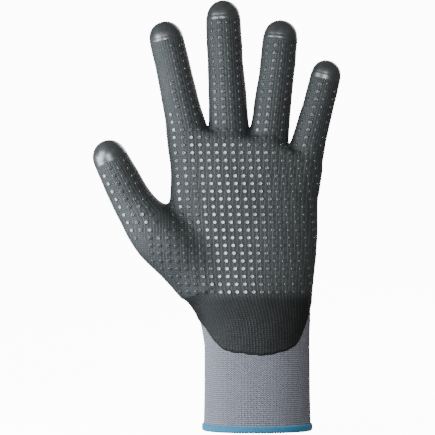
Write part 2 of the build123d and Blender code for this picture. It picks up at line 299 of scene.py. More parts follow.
def skin_mesh():
    """The glove's surface as quads: one point per grid cell that the surface crosses."""
    low = np.array(cad_box[0]) / MM - GRID_MARGIN
    high = np.array(cad_box[1]) / MM + GRID_MARGIN
    low[2] = SKIN_START
    counts = np.ceil((high - low) / GRID).astype(int) + 1
    axes = [low[k] + GRID * np.arange(counts[k]) for k in range(3)]
    values = np.empty(counts, np.float32)
    plane = np.stack(np.meshgrid(axes[0], axes[1], indexing="ij"), -1).reshape(-1, 2)
    for k, z in enumerate(axes[2]):
        points = np.column_stack((plane, np.full(len(plane), z)))
        values[:, :, k] = glove_field(points).reshape(counts[0], counts[1])
    inside = values < 0
    corners = [(i, j, k) for i in (0, 1) for j in (0, 1) for k in (0, 1)]
    n = counts - 1
    total = sum(inside[i:i + n[0], j:j + n[1], k:k + n[2]].astype(np.int8) for i, j, k in corners)
    cells = np.argwhere((total > 0) & (total < 8))
    index = np.full(n, -1, np.int64)
    index[tuple(cells.T)] = np.arange(len(cells))
    where, weight = np.zeros((len(cells), 3)), np.zeros(len(cells))
    for a in corners:
        for k in range(3):
            if a[k]:
                continue
            b = list(a)
            b[k] = 1
            va = values[tuple((cells + a).T)]
            vb = values[tuple((cells + b).T)]
            cross = (va < 0) != (vb < 0)
            share = np.where(cross, va / np.where(cross, va - vb, 1), 0)
            spot = np.array(a, float) + np.zeros((len(cells), 3))
            spot[:, k] += share
            where += spot * cross[:, None]
            weight += cross
    verts = low + GRID * (cells + where / weight[:, None])
    quads = []
    for k in range(3):
        i, j = (k + 1) % 3, (k + 2) % 3
        first = [slice(None)] * 3
        second = [slice(None)] * 3
        first[k], second[k] = slice(0, -1), slice(1, None)
        change = inside[tuple(first)] != inside[tuple(second)]
        edges = np.argwhere(change)
        edges = edges[(edges[:, i] > 0) & (edges[:, j] > 0) & (edges[:, i] < n[i]) & (edges[:, j] < n[j])]
        outward = inside[tuple(edges.T)]
        ring = []
        for di, dj in ((1, 1), (0, 1), (0, 0), (1, 0)):
            cell = edges.copy()
            cell[:, i] -= di
            cell[:, j] -= dj
            ring.append(index[tuple(cell.T)])
        ring = np.stack(ring, 1)
        ring[~outward] = ring[~outward][:, ::-1]
        quads.append(ring)
    quads = np.concatenate(quads)
    return verts, quads[(quads >= 0).all(1)]


def edges_of(quads):
    """Every edge of the quads once."""
    pairs = np.concatenate([quads[:, [k, (k + 1) % 4]] for k in range(4)])
    return np.unique(np.sort(pairs, 1), axis=0)


def relaxed(verts, quads, rounds=3):
    """The same surface with evenly spaced points."""
    edges = edges_of(quads)
    for _ in range(rounds):
        total = np.zeros_like(verts)
        count = np.zeros(len(verts))
        for a, b in ((0, 1), (1, 0)):
            np.add.at(total, edges[:, a], verts[edges[:, b]])
            np.add.at(count, edges[:, a], 1)
        verts = onto_skin(verts + EVENNESS * (total / np.maximum(count, 1)[:, None] - verts), 1)
    return onto_skin(verts, 2)


def subdivided(verts, quads):
    """Four quads out of each one."""
    sides = np.stack([np.sort(quads[:, [k, (k + 1) % 4]], 1) for k in range(4)], 1).reshape(-1, 2)
    edges, place = np.unique(sides, axis=0, return_inverse=True)
    place = place.reshape(-1, 4) + len(verts)
    centres = len(verts) + len(edges) + np.arange(len(quads))
    verts = np.concatenate((verts, verts[edges].mean(1), verts[quads].mean(1)))
    parts = [np.stack((quads[:, k], place[:, k], centres, place[:, k - 1]), 1) for k in range(4)]
    return verts, np.concatenate(parts)


def snapped(verts, quads, value, family=None):
    """Points nudged along edges onto the line where value is zero, and which points lie on it."""
    edges = edges_of(quads)
    a, b = value[edges[:, 0]], value[edges[:, 1]]
    cross = (a < 0) != (b < 0)
    if family is not None:
        cross &= family[edges[:, 0]] & family[edges[:, 1]]
    edges, a, b = edges[cross], a[cross], b[cross]
    share = a / (a - b)
    nearer = np.where(share < 0.5, edges[:, 0], edges[:, 1])
    spot = verts[edges[:, 0]] + (verts[edges[:, 1]] - verts[edges[:, 0]]) * share[:, None]
    order = np.argsort(-np.minimum(share, 1 - share), kind="stable")
    verts = verts.copy()
    verts[nearer[order]] = spot[order]
    on = np.zeros(len(verts), bool)
    on[nearer] = True
    return verts, on


def triangles_of(quads, lines):
    """Two triangles out of each quad, split along any of the lines that crosses it."""
    second = np.zeros(len(quads), bool)
    for on in lines:
        second |= on[quads[:, 1]] & on[quads[:, 3]] & ~(on[quads[:, 0]] & on[quads[:, 2]])
    quads = np.where(second[:, None], np.roll(quads, -1, axis=1), quads)
    return np.concatenate((quads[:, [0, 1, 2]], quads[:, [0, 2, 3]]))


def mesh_normals(verts, faces):
    """Unit normals at the points of a triangle mesh."""
    flat = np.cross(verts[faces[:, 1]] - verts[faces[:, 0]], verts[faces[:, 2]] - verts[faces[:, 0]])
    total = np.zeros_like(verts)
    for k in range(3):
        np.add.at(total, faces[:, k], flat)
    return total / np.maximum(np.linalg.norm(total, axis=1), 1e-12)[:, None]


# ---- where the coating is ----
# the coating's lower edge: x, z
EDGE = np.array((
    (-44.0, 69.0), (-34.0, 65.0), (-28.5, 57.5), (-24.0, 50.8), (-17.0, 47.0), (-8.0, 45.3), (0.0, 44.9),
    (8.0, 45.1), (16.0, 46.8), (22.0, 50.0), (26.0, 55.0), (28.8, 64.0), (31.5, 76.0), (38.0, 90.0),
))


EDGE_LEAN = 0.8  # a step up in height is this much depth, as the edge runs aslant
TIP_SLOPE = 0.35  # how the fingertip's coating falls to the back
TIP_DEPTH = 8  # greatest depth given to a fingertip
TIP_REACH = 30  # a digit's tip takes part this far below its dome
TIP_AROUND = 6  # and this far outside its radius
THUMB_WRAP = COAT_BEHIND + 0.6  # how far the thumb's coating reaches behind its middle
THUMB_TURN = (34, 16)  # the thumb's own edge takes over this far before its end joint, over this length
THUMB_ZONE = 17  # radius round the thumb's middle line that belongs to it


def coating_depth(p):
    """How far a point lies inside the coated area, in millimetres; negative on bare knit."""
    wave = 0.3 * np.sin(p[:, 0] * 0.31 + 0.8) + 0.15 * np.sin(p[:, 0] * 0.9)
    lower = (p[:, 2] - smooth_rows(EDGE, p[:, 0])[0] + wave) * EDGE_LEAN
    side = COAT_BEHIND - p[:, 1] + 0.5 * np.sin(p[:, 2] * 0.21) + 0.3 * np.sin(p[:, 2] * 0.47)
    depth = np.minimum(lower, side)
    for name, digit in DIGITS.items():
        s, u, v = digit.local(p)
        tip = s - (digit.end - TIP_COVER) - np.maximum(v, 0) * TIP_SLOPE
        on = (np.hypot(u, v) < digit.tip_radius + TIP_AROUND) & (s > digit.dome - TIP_REACH)
        tip = np.minimum(tip, TIP_DEPTH)
        depth = np.where(on, np.maximum(depth, tip), depth)
        if name == "thumb":
            start, length = THUMB_TURN
            mix = np.clip((s + start) / length, 0, 1) * (np.hypot(u, v) < THUMB_ZONE)
            own = np.maximum(THUMB_WRAP - v, tip)
            depth = np.where(mix > 0, depth * (1 - mix) + own * mix, depth)
    return depth


# ---- the knit's own directions on the surface ----
WALE = 1.7  # pitch of the knit's columns
COURSE = 1.15  # pitch of its rows
HAND_WALES = 96
SIDE_FROM = 0.75  # share of the hand's half width where its sides begin
THUMB_FOOT = 70.0  # height where the ball of the thumb begins
THUMB_FADE = 10.0
DIGIT_WALES = 37
ARC_TABLE = np.linspace(-np.pi, np.pi, 721)
ARC_ASPECT = 1.55  # width of the hand over its depth, for the spacing of the columns
ARC_STEPS = np.hypot(np.diff(ARC_ASPECT * np.cos(ARC_TABLE)), np.diff(np.sin(ARC_TABLE)))
ARC_LENGTH = np.concatenate(([0], np.cumsum(ARC_STEPS)))
ARC_LENGTH /= ARC_LENGTH[-1]


def knit_on_hand(p):
    """Place round the hand, counted in columns of the knit, and height."""
    left, right, front, back = smooth_rows(HAND, p[:, 2])[:4]
    half = (right - left) / 2
    share = (p[:, 0] - (left + right) / 2) / half
    side = np.where(p[:, 1] < 0, -1.0, 1.0)
    angle = side * np.arccos(np.clip(share, -1, 1))
    # x hardly changes round the hand's sides, so there the depth tells the angle, but not on the thumb
    by_depth = np.arctan2(p[:, 1] / np.where(p[:, 1] < 0, front, back), share)
    near_side = np.clip((np.abs(share) - SIDE_FROM) / (1 - SIDE_FROM), 0, 1)
    near_side *= np.where(share < 0, np.clip((THUMB_FOOT - p[:, 2]) / THUMB_FADE, 0, 1), 1)
    angle += (by_depth - angle) * near_side
    round_hand = np.interp(angle, ARC_TABLE, ARC_LENGTH) * HAND_WALES
    beyond = side * np.maximum(-1 - share, 0) * half / WALE
    return round_hand + beyond, p[:, 2] / COURSE, HAND_WALES


def knit_on_digit(digit, p):
    """Place round a digit, counted in columns of the knit, and distance along it."""
    s, u, v = digit.local(p)
    return (np.arctan2(v, u) / (2 * np.pi) + 0.5) * DIGIT_WALES, s / COURSE, DIGIT_WALES


# ---- how the skin is cut into pieces that each lie over one joint ----
KNUCKLE_CUT = 174.4  # height where the index, middle and ring fingers leave the palm
LITTLE_CUT = 164.6
LITTLE_GAP = (18.8, 163.4, 0.15)  # x and z of the gap beside the little finger, and its lean
THUMB_CUT = -18.0  # from the thumb's end joint
THUMB_SPLIT = -7.4
# length in height over which the knuckle bends, then half the lengths over which the other two bend
BENDS = {
    "index": (12.0, 7.0, 5.5),
    "middle": (15.0, 8.0, 5.0),
    "ring": (11.4, 6.8, 5.2),
    "little": (8.6, 5.7, 4.4),
}
WRIST_BEND = 10  # half the length over which the wrist bends
THUMB_BEND = 7  # the same for the thumb's end joint
THUMB_SIDE = -45  # the thumb lies beyond this x
THUMB_LINE = 4  # points this near the thumb's cut may be moved onto it
THUMB_OWNER = list(DIGITS).index("thumb")
SMALL = 0.3  # gap between a bend's end and a cut


def cuts_of(name):
    """Distances along a digit where one of its pieces ends and the next starts."""
    if name == "thumb":
        return (THUMB_SPLIT,)
    _, middle, end = BENDS[name]
    joint = DIGITS[name].hinges[1]
    return joint - middle - SMALL, (joint + middle - end) / 2


def on_thumb(p):
    """Distance along the thumb, and which points are near it."""
    s, u, v = DIGITS["thumb"].local(p)
    return s, (np.hypot(u, v) < THUMB_ZONE) & (p[:, 0] < THUMB_SIDE)


def owner_of(p):
    """Which digit each point is on, or -1 for the hand."""
    gap_x, gap_z, lean = LITTLE_GAP
    line = np.where(p[:, 0] < gap_x + (p[:, 2] - gap_z) * lean, KNUCKLE_CUT, LITTLE_CUT)
    away = np.stack([np.abs(DIGITS[name].local(p)[1]) for name in FINGERS])
    out = np.where(p[:, 2] > line, away.argmin(0), -1)
    s, near = on_thumb(p)
    return np.where((s > THUMB_CUT) & near, THUMB_OWNER, out)


def piece_of(p):
    """The number of the piece each point is on: 0 the hand, else ten for each digit, plus its part."""
    owner = owner_of(p)
    out = np.zeros(len(p), int)
    for number, name in enumerate(DIGITS):
        s = DIGITS[name].local(p)[0]
        part = sum((s > cut).astype(int) for cut in cuts_of(name))
        out = np.where(owner == number, 10 * (number + 1) + part, out)
    return out


def glove_skin():
    """The skin's points and triangles, and a coarse skin for the lining."""
    verts, quads = skin_mesh()
    verts = relaxed(verts, quads)
    coarse = verts, quads
    verts, quads = subdivided(verts, quads)
    verts = onto_skin(verts, 2)
    lines = []
    gap_x, gap_z, lean = LITTLE_GAP
    beside = verts[:, 0] < gap_x + (verts[:, 2] - gap_z) * lean
    thumb_s, near = on_thumb(verts)
    jobs = [(verts[:, 2] - KNUCKLE_CUT, beside & ~near), (verts[:, 2] - LITTLE_CUT, ~beside)]
    jobs.append((thumb_s - THUMB_CUT, near & (np.abs(thumb_s - THUMB_CUT) < THUMB_LINE)))
    owner = owner_of(verts)
    for number, name in enumerate(DIGITS):
        along = DIGITS[name].local(verts)[0]
        jobs += [(along - cut, owner == number) for cut in cuts_of(name)]
    for value, family in jobs:
        verts, on = snapped(verts, quads, value, family)
        lines.append(on)
    fixed = np.any(lines, axis=0)
    moved, on = snapped(verts, quads, coating_depth(verts))
    verts = np.where((on & ~fixed)[:, None], moved, verts)
    lines.append(on)
    return verts, triangles_of(quads, lines), coarse


# ---- pieces ----
def new_object(name, verts, faces, normals=None):
    """A smooth mesh object from points in millimetres."""
    mesh = bpy.data.meshes.new(name)
    mesh.from_pydata((verts * MM).tolist(), [], faces.tolist())
    mesh.polygons.foreach_set("use_smooth", [True] * len(mesh.polygons))
    if normals is not None:
        mesh.normals_split_custom_set_from_vertices(normals.tolist())
    mesh.update()
    thing = bpy.data.objects.new(name, mesh)
    bpy.context.scene.collection.objects.link(thing)
    return thing


def write_knit(thing, verts, faces, number):
    """Stores the knit's directions at the corners of each face, without a jump at the seam."""
    if number:
        column, row, period = knit_on_digit(DIGITS[list(DIGITS)[number // 10 - 1]], verts)
    else:
        column, row, period = knit_on_hand(verts)
    column, row = column[faces], row[faces]
    column = column - np.round((column - column[:, :1]) / period) * period
    data = np.stack((column, row, np.zeros_like(row)), -1).reshape(-1)
    attribute = thing.data.attributes.new("knit", "FLOAT_VECTOR", "CORNER")
    attribute.data.foreach_set("vector", data.astype(np.float32))


def write_value(thing, name, values):
    """Stores one number per point."""
    attribute = thing.data.attributes.new(name, "FLOAT", "POINT")
    attribute.data.foreach_set("value", values.astype(np.float32))


def own_part(faces, keep):
    """The kept faces, renumbered, and the points they use."""
    used, picked = np.unique(faces[keep], return_inverse=True)
    return used, picked.reshape(-1, faces.shape[1])


def bend_of(number):
    """The two bodies that a piece lies between, and where its bend starts and ends, in metres."""
    if number == 0:
        wrist = JOINTS["wrist_bend"]["pos_m"][2] / MM
        start, end = (Vector((0, 0, (wrist + side * WRIST_BEND) * MM)) for side in (-1, 1))
        return "cuff", "palm", start, end
    name = list(DIGITS)[number // 10 - 1]
    digit, part = DIGITS[name], number % 10
    if name == "thumb":
        if part == 0:
            return "palm", "thumb_base", digit.point(THUMB_CUT), digit.point(THUMB_SPLIT - SMALL)
        return "thumb_base", "thumb_tip", digit.point(-THUMB_BEND), digit.point(THUMB_BEND)
    if part == 0:
        low = LITTLE_CUT if name == "little" else KNUCKLE_CUT
        high = low + BENDS[name][0]
        x = digit.point(digit.hinges[0]).x
        return "palm", f"{name}_base", Vector((x, 0, low * MM)), Vector((x, 0, high * MM))
    middle, end = BENDS[name][1:]
    joint = digit.hinges[1]
    if part == 1:
        return f"{name}_base", f"{name}_middle", digit.point(joint - middle), digit.point(joint + middle)
    return f"{name}_middle", f"{name}_tip", digit.point(-end), digit.point(end)


def title_of(number):
    """A piece's name."""
    if number == 0:
        return "hand"
    name = list(DIGITS)[number // 10 - 1]
    parts = ("base", "tip") if name == "thumb" else ("base", "middle", "tip")
    return f"{name}_{parts[number % 10]}"


def smooth(t):
    """0 to 1 with no kink at either end."""
    t = np.clip(t, 0, 1)
    return t * t * (3 - 2 * t)


def wrinkles(p):
    """Slight unevenness of the surface, in millimetres."""
    x, y, z = p.T
    slow = np.sin(x * 0.16 + 1.3 * np.sin(z * 0.051)) * np.sin(z * 0.12 + x * 0.05 + 1.1)
    fast = np.sin(x * 0.43 + z * 0.11 + y * 0.3) * np.sin(z * 0.37 - x * 0.08 + y * 0.21)
    return 0.22 * slow + 0.07 * fast


# ---- dots ----
DOT_RADIUS = 1.15
DOT_HEIGHT = 0.42
DOT_ROW = 4.45
DOT_COLUMN = 4.7
DOT_LEAN = math.tan(math.radians(5.0))
DOT_START = 81.0  # height of the lowest row
DOT_MIDDLE = -6.0  # x of a column at the height of DOT_TURN
DOT_TURN = 125.0
DOT_SIDES = 16
# a dot's rings from its middle out: shares of its radius and height
DOT_RINGS = ((0.50, 0.95), (0.74, 1.0), (0.90, 0.97), (0.99, 0.75), (1.04, 0.30), (1.06, -0.5))
DOT_CORE = 0.94  # height of a dot's middle
DOT_OFFSETS = (-6.9, -2.3, 2.3, 6.9)  # columns on a digit
DOT_ROWS = 40
DOT_COLUMNS = 12  # columns on either side of the middle one
DOT_FACING = -0.42  # dots stand where the skin faces the palm side at least this much
DOT_EDGE = 2.2  # and this far inside the coating
DOT_CAP_GAP = 1.0  # and this far below a smooth fingertip
DOT_CAP_WIDTH = 13
THUMB_DOTS = THUMB_CUT - 9  # the thumb's own grid of dots starts here
THUMB_DOTS_SIDE = -50
FRONT_SEARCH = (-40.0, 4.0, 1.0)  # y where the search for the palm side starts and ends, and its step
HALVINGS = 14
NORMAL_STEP = 0.4


def on_front(x, z):
    """Points of the palm side at these places, and whether there is skin there at all."""
    start, end, step = FRONT_SEARCH
    near = np.full(len(x), start)
    far = near.copy()
    found = np.zeros(len(x), bool)
    for y in np.arange(start, end, step):
        hit = ~found & (glove_field(np.column_stack((x, np.full(len(x), y), z))) < 0)
        far[hit] = y
        near[hit] = y - step
        found |= hit
    for _ in range(HALVINGS):
        middle = (near + far) / 2
        inside = glove_field(np.column_stack((x, middle, z))) < 0
        far, near = np.where(inside, middle, far), np.where(inside, near, middle)
    return np.column_stack((x, (near + far) / 2, z)), found


def dot_places():
    """Where the dots' centres are on the skin, with the normals there."""
    rows = DOT_START + DOT_ROW * np.arange(DOT_ROWS)
    spots = []
    for z in rows:
        reach = np.arange(-DOT_COLUMNS, DOT_COLUMNS + 1) * DOT_COLUMN
        spots += [(DOT_MIDDLE + a - (z - DOT_TURN) * DOT_LEAN, z, -1) for a in reach]
        for number, name in enumerate(DIGITS):
            digit = DIGITS[name]
            along = digit.along[[0, 2]]
            s = (z - digit.centre[2]) / along[1]
            x = digit.centre[0] + along[0] * s
            spots += [(x + a / digit.along[2], z, number) for a in DOT_OFFSETS]
    spots = np.array(spots)
    p, found = on_front(spots[:, 0], spots[:, 1])
    spots, p = spots[found], p[found]
    owner = owner_of(p)
    thumb_s = DIGITS["thumb"].local(p)[0]
    root = (thumb_s > THUMB_DOTS) & (p[:, 0] < THUMB_DOTS_SIDE)
    wanted = np.where(root, THUMB_OWNER, owner)
    slope = field_gradient(p, NORMAL_STEP)
    normal = slope / np.linalg.norm(slope, axis=1)[:, None]
    good = (wanted == spots[:, 2]) & (normal[:, 1] < DOT_FACING) & (coating_depth(p) > DOT_EDGE)
    for digit in DIGITS.values():
        s, u, _ = digit.local(p)
        good &= ~((s > digit.end - CAP - DOT_CAP_GAP) & (np.abs(u) < DOT_CAP_WIDTH))
    good &= ~((wanted == THUMB_OWNER) & (thumb_s < THUMB_DOTS))
    return p[good], normal[good]


def dots_mesh(places, normals):
    """Points and triangles of a flat-topped dot at each place."""
    turn = 2 * np.pi * np.arange(DOT_SIDES) / DOT_SIDES
    side = np.cross(normals, (0, 0, 1.0))
    side /= np.linalg.norm(side, axis=1)[:, None]
    up = np.cross(side, normals)
    rings = [places + normals * DOT_HEIGHT * DOT_CORE]
    for r, h in DOT_RINGS:
        ring = places[:, None] + normals[:, None] * DOT_HEIGHT * h
        around = side[:, None] * np.cos(turn)[:, None] + up[:, None] * np.sin(turn)[:, None]
        rings.append(ring + DOT_RADIUS * r * around)
    verts = np.concatenate([rings[0][:, None]] + rings[1:], axis=1)
    count = verts.shape[1]
    k = np.arange(DOT_SIDES)
    nxt = (k + 1) % DOT_SIDES
    faces = [np.column_stack((np.zeros_like(k), 1 + k, 1 + nxt))]
    for ring in range(len(DOT_RINGS) - 1):
        a = 1 + ring * DOT_SIDES
        b = a + DOT_SIDES
        faces.append(np.column_stack((a + k, b + k, b + nxt)))
        faces.append(np.column_stack((a + k, b + nxt, a + nxt)))
    faces = np.concatenate(faces)[:, ::-1]
    all_faces = (faces[None] + (np.arange(len(places)) * count)[:, None, None]).reshape(-1, 3)
    return verts.reshape(-1, 3), all_faces


# ---- materials ----
def nodes_of(name, base, roughness):
    """A material with its shader, and a helper that adds a node with given inputs."""
    material = bpy.data.materials.new(name)
    material.use_nodes = True
    tree = material.node_tree
    shader = tree.nodes["Principled BSDF"]
    shader.inputs["Base Color"].default_value = (*base, 1)
    shader.inputs["Roughness"].default_value = roughness

    def add(kind, *values, **settings):
        node = tree.nodes.new(kind)
        for key, value in settings.items():
            setattr(node, key, value)
        for place, value in enumerate(values):
            if value is None:
                continue
            if isinstance(value, bpy.types.NodeSocket):
                tree.links.new(value, node.inputs[place])
            else:
                node.inputs[place].default_value = value
        return node

    return material, tree, shader, add


def math_node(add, operation, a, b=0.0, c=0.0):
    """One sum."""
    return add("ShaderNodeMath", a, b, c, operation=operation).outputs[0]


def stitch_height(add):
    """Height of the knit's V-shaped stitches from the stored directions, 0 to 1, and the column."""
    knit = add("ShaderNodeAttribute", attribute_name="knit").outputs["Vector"]
    split = add("ShaderNodeSeparateXYZ", knit)
    column, row = split.outputs[0], split.outputs[1]
    inside = math_node(add, "FRACT", column)
    off = math_node(add, "ABSOLUTE", math_node(add, "SUBTRACT", inside, 0.5))
    slanted = math_node(add, "SUBTRACT", row, math_node(add, "MULTIPLY", off, 0.8))
    loop = math_node(add, "ABSOLUTE", math_node(add, "SINE", math_node(add, "MULTIPLY", slanted, math.pi)))
    across = math_node(add, "MULTIPLY", inside, 2 * math.pi)
    leg = math_node(add, "ABSOLUTE", math_node(add, "SINE", across))
    legs = math_node(add, "POWER", leg, 0.4)
    loops = math_node(add, "POWER", loop, 0.9)
    return math_node(add, "MULTIPLY", legs, loops), column


def mix_colour(add, share, a, b):
    """A colour between two."""
    node = add("ShaderNodeMix", data_type="RGBA")
    tree = node.id_data
    for socket, value in ((node.inputs[0], share), (node.inputs[6], a), (node.inputs[7], b)):
        if isinstance(value, bpy.types.NodeSocket):
            tree.links.new(value, socket)
        elif isinstance(value, tuple):
            socket.default_value = (*value, 1)
        else:
            socket.default_value = value
    return node.outputs[2]


def noise(add, scale, detail=3.0):
    """A noise value in object space."""
    place = add("ShaderNodeTexCoord").outputs["Object"]
    return add("ShaderNodeTexNoise", place, None, scale, detail).outputs["Fac"]


def bump(add, tree, shader, height, strength, distance):
    """Links a height to the shader's normal."""
    node = add("ShaderNodeBump", strength, distance)
    tree.links.new(height, node.inputs["Height"])
    tree.links.new(node.outputs[0], shader.inputs["Normal"])


def knit_material():
    """Light grey seamless knit, with painted shade darkening the grooves between its stitches."""
    material, tree, shader, add = nodes_of("grey_knit", KNIT, 0.9)
    height = stitch_height(add)[0]
    fuzz = noise(add, 900.0)
    # low parts of the stitches take the dark colour: painted shade in the grooves between them, with random
    # fuzz on top
    tone = math_node(add, "MULTIPLY_ADD", fuzz, 0.5, math_node(add, "MULTIPLY_ADD", height, 1.3, -0.25))
    tree.links.new(mix_colour(add, tone, KNIT_SHADED, KNIT_LIGHT), shader.inputs["Base Color"])
    shader.inputs["Sheen Weight"].default_value = 0.25
    shader.inputs["Sheen Roughness"].default_value = 0.5
    shader.inputs["Specular IOR Level"].default_value = 0.2
    both = math_node(add, "MULTIPLY_ADD", fuzz, 0.35, height)
    bump(add, tree, shader, both, 1.0, 0.0008)
    return material


def coating_material():
    """Dark grey nitrile foam with the knit's ribs showing through, as relief and as painted light and shade
    along the ribs.
    """
    material, tree, shader, add = nodes_of("nitrile_foam", COATING, 0.55)
    height, column = stitch_height(add)
    grain = noise(add, 1400.0)
    patches = noise(add, 60.0)
    rib = math_node(add, "SINE", math_node(add, "MULTIPLY", column, 2 * math.pi))
    # the ribs' sine lightens the colour on their crests and darkens it between them: painted light and
    # shade, with random grain and patches on top
    tone = math_node(add, "MULTIPLY_ADD", rib, 0.21, math_node(add, "MULTIPLY_ADD", grain, 1.2, -0.1))
    tone = math_node(add, "MULTIPLY_ADD", math_node(add, "SUBTRACT", patches, 0.5), 0.5, tone)
    band = add("ShaderNodeAttribute", attribute_name="band").outputs["Fac"]
    dotted = mix_colour(add, tone, COATING_DARK, COATING_LIGHT)
    tree.links.new(mix_colour(add, band, dotted, COATING_PLAIN), shader.inputs["Base Color"])
    tree.links.new(math_node(add, "MULTIPLY_ADD", grain, 0.1, 0.54), shader.inputs["Roughness"])
    relief = math_node(add, "MULTIPLY_ADD", grain, 0.35, math_node(add, "MULTIPLY_ADD", rib, 0.4, height))
    bump(add, tree, shader, relief, 0.65, 0.00025)
    shader.inputs["Specular IOR Level"].default_value = 0.3
    return material


def cap_material():
    """Smooth, glossy nitrile over the fingertips."""
    material, tree, shader, add = nodes_of("nitrile_caps", CAP_TONE, 0.2)
    grain = noise(add, 300.0)
    tree.links.new(mix_colour(add, grain, COATING_DARK, CAP_TONE), shader.inputs["Base Color"])
    tree.links.new(math_node(add, "MULTIPLY_ADD", grain, 0.14, 0.26), shader.inputs["Roughness"])
    shader.inputs["Specular IOR Level"].default_value = 1.0
    bump(add, tree, shader, grain, 0.25, 0.00015)
    return material


def dot_material():
    """The same nitrile, moulded smooth."""
    material, tree, shader, add = nodes_of("nitrile_dots", DOT_TONE, 0.3)
    grain = noise(add, 500.0)
    tree.links.new(mix_colour(add, grain, COATING_DARK, DOT_TONE), shader.inputs["Base Color"])
    tree.links.new(math_node(add, "MULTIPLY_ADD", grain, 0.14, 0.14), shader.inputs["Roughness"])
    bump(add, tree, shader, grain, 0.15, 0.0001)
    shader.inputs["Specular IOR Level"].default_value = 0.85
    return material


def yarn_material(name, dark, light):
    """Twisted yarn; where a band has loops, its colour is painted darker in the grooves between them, as
    painted shade.
    """
    material, tree, shader, add = nodes_of(name, light, 0.85)
    fuzz = noise(add, 700.0)
    loop_shade = add("ShaderNodeAttribute", attribute_name="loop_shade").outputs["Fac"]
    # the loops' wave darkens the colour where the loops meet: painted shade between the loops, with random
    # fuzz on top
    tone = math_node(add, "MULTIPLY_ADD", fuzz, 0.5, math_node(add, "MULTIPLY", loop_shade, 0.7))
    tree.links.new(mix_colour(add, tone, dark, light), shader.inputs["Base Color"])
    shader.inputs["Sheen Weight"].default_value = 0.2
    bump(add, tree, shader, fuzz, 0.4, 0.0002)
    return material


# colours: a material's plain colour, and the two that its pattern runs between; for the knit, the coating's
# ribs and the hem's loops the darker end is partly painted shade
KNIT = (0.5, 0.5, 0.53)
# the knit's dark colour is painted shade between its stitches, and the darker end of its random fuzz
KNIT_SHADED = (0.03, 0.031, 0.041)
KNIT_LIGHT = (0.27, 0.274, 0.335)
COATING = (0.03, 0.033, 0.033)
COATING_DARK = (0.014, 0.016, 0.016)
COATING_LIGHT = (0.050, 0.056, 0.057)
COATING_PLAIN = (0.0045, 0.0056, 0.0056)  # the undotted band
DOT_TONE = (0.05, 0.054, 0.055)
CAP_TONE = (0.04, 0.044, 0.045)
# the hem's dark colour is painted shade between its loops, and the darker end of its random fuzz
HEM_SHADED = (0.004, 0.05, 0.11)
HEM_LIGHT = (0.02, 0.17, 0.30)
ELASTANE_DARK = (0.35, 0.35, 0.36)
ELASTANE_LIGHT = (0.62, 0.62, 0.63)

knit = knit_material()
foam = coating_material()
moulded = dot_material()
smooth_caps = cap_material()
blue = yarn_material("blue_yarn", HEM_SHADED, HEM_LIGHT)
elastane = yarn_material("elastane", ELASTANE_DARK, ELASTANE_LIGHT)


def finish_piece(thing, material, number=None, nodes=()):
    """Gives a piece its material, hangs the cuff's pieces on the cuff's body and bakes the others in place,
    and hides the CAD parts that it stands for.
    """
    thing.data.materials.append(material)
    if number is None:
        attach(thing, "cuff")
    else:
        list(bend_of(number))
        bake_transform(thing)
    if nodes:
        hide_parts(*nodes)


# ---- the skin's pieces ----
WRINKLES_FROM = 20  # height where the unevenness begins
WRINKLES_RISE = 30
RIM_BEAD = 0.25  # share of the coating's thickness by which its edge is thicker
RIM_PLACE = 1.2
RIM_WIDTH = 0.7
CAP_FADE = 1.6
CAP_AROUND = 14  # radius round a digit's middle line that its smooth fingertip takes in
BAND_DROP = 6  # the plain band starts to fade this far below the lowest dots
BAND_FADE = 9
BAND_HALF = 40  # half width of the plain band
UNDERLAP = 2.0  # the knit runs on this far under the coating's edge

verts, faces, coarse = glove_skin()
depth = coating_depth(verts)
normals = mesh_normals(verts, faces)
uneven = wrinkles(verts) * smooth((verts[:, 2] - WRINKLES_FROM) / WRINKLES_RISE)
verts = verts + normals * uneven[:, None]
normals = mesh_normals(verts, faces)
bead = RIM_BEAD * np.exp(-(((depth - RIM_PLACE) / RIM_WIDTH) ** 2))
rise = COAT * (smooth(depth / COAT_RIM) + bead)
coated = verts + normals * rise[:, None]
coated_normals = mesh_normals(coated, faces)
centres = verts[faces].mean(1)
face_piece = piece_of(centres)
face_depth = coating_depth(centres)
cap = np.zeros(len(verts))
for digit in DIGITS.values():
    s, u, v = digit.local(verts)
    cap = np.maximum(cap, smooth((s - (digit.end - CAP)) / CAP_FADE) * (np.hypot(u, v) < CAP_AROUND))

# the plain band below the lowest dots is darker
band_curve = 0.2 * np.abs(verts[:, 0] / BAND_HALF) ** 2
band_shade = 1 - smooth((verts[:, 2] - DOT_START + BAND_DROP) / BAND_FADE + band_curve)

for number in sorted(set(face_piece.tolist())):
    title = title_of(number)
    stem = title if number else "palm"
    mine = face_piece == number
    bare, bare_faces = own_part(faces, mine & (face_depth < UNDERLAP))
    liner = new_object(f"{title}_knit", verts[bare], bare_faces, normals[bare])
    write_knit(liner, verts[bare], bare_faces, number)
    dark, dark_faces = own_part(faces, mine & (face_depth > 0))
    coating = new_object(f"{title}_foam", coated[dark], dark_faces, coated_normals[dark])
    write_knit(coating, verts[dark], dark_faces, number)
    on_cap = cap[dark][dark_faces].mean(1) > 0.5
    write_value(coating, "band", band_shade[dark])
    stands_for = ("cuff_knit", "wrist_fold", "palm_liner") if number == 0 else (f"{title}_liner",)
    finish_piece(liner, knit, number, stands_for)
    finish_piece(coating, foam, number, (f"{stem}_coating",))
    if on_cap.any():
        coating.data.materials.append(smooth_caps)
        coating.data.polygons.foreach_set("material_index", on_cap.astype(np.int32))

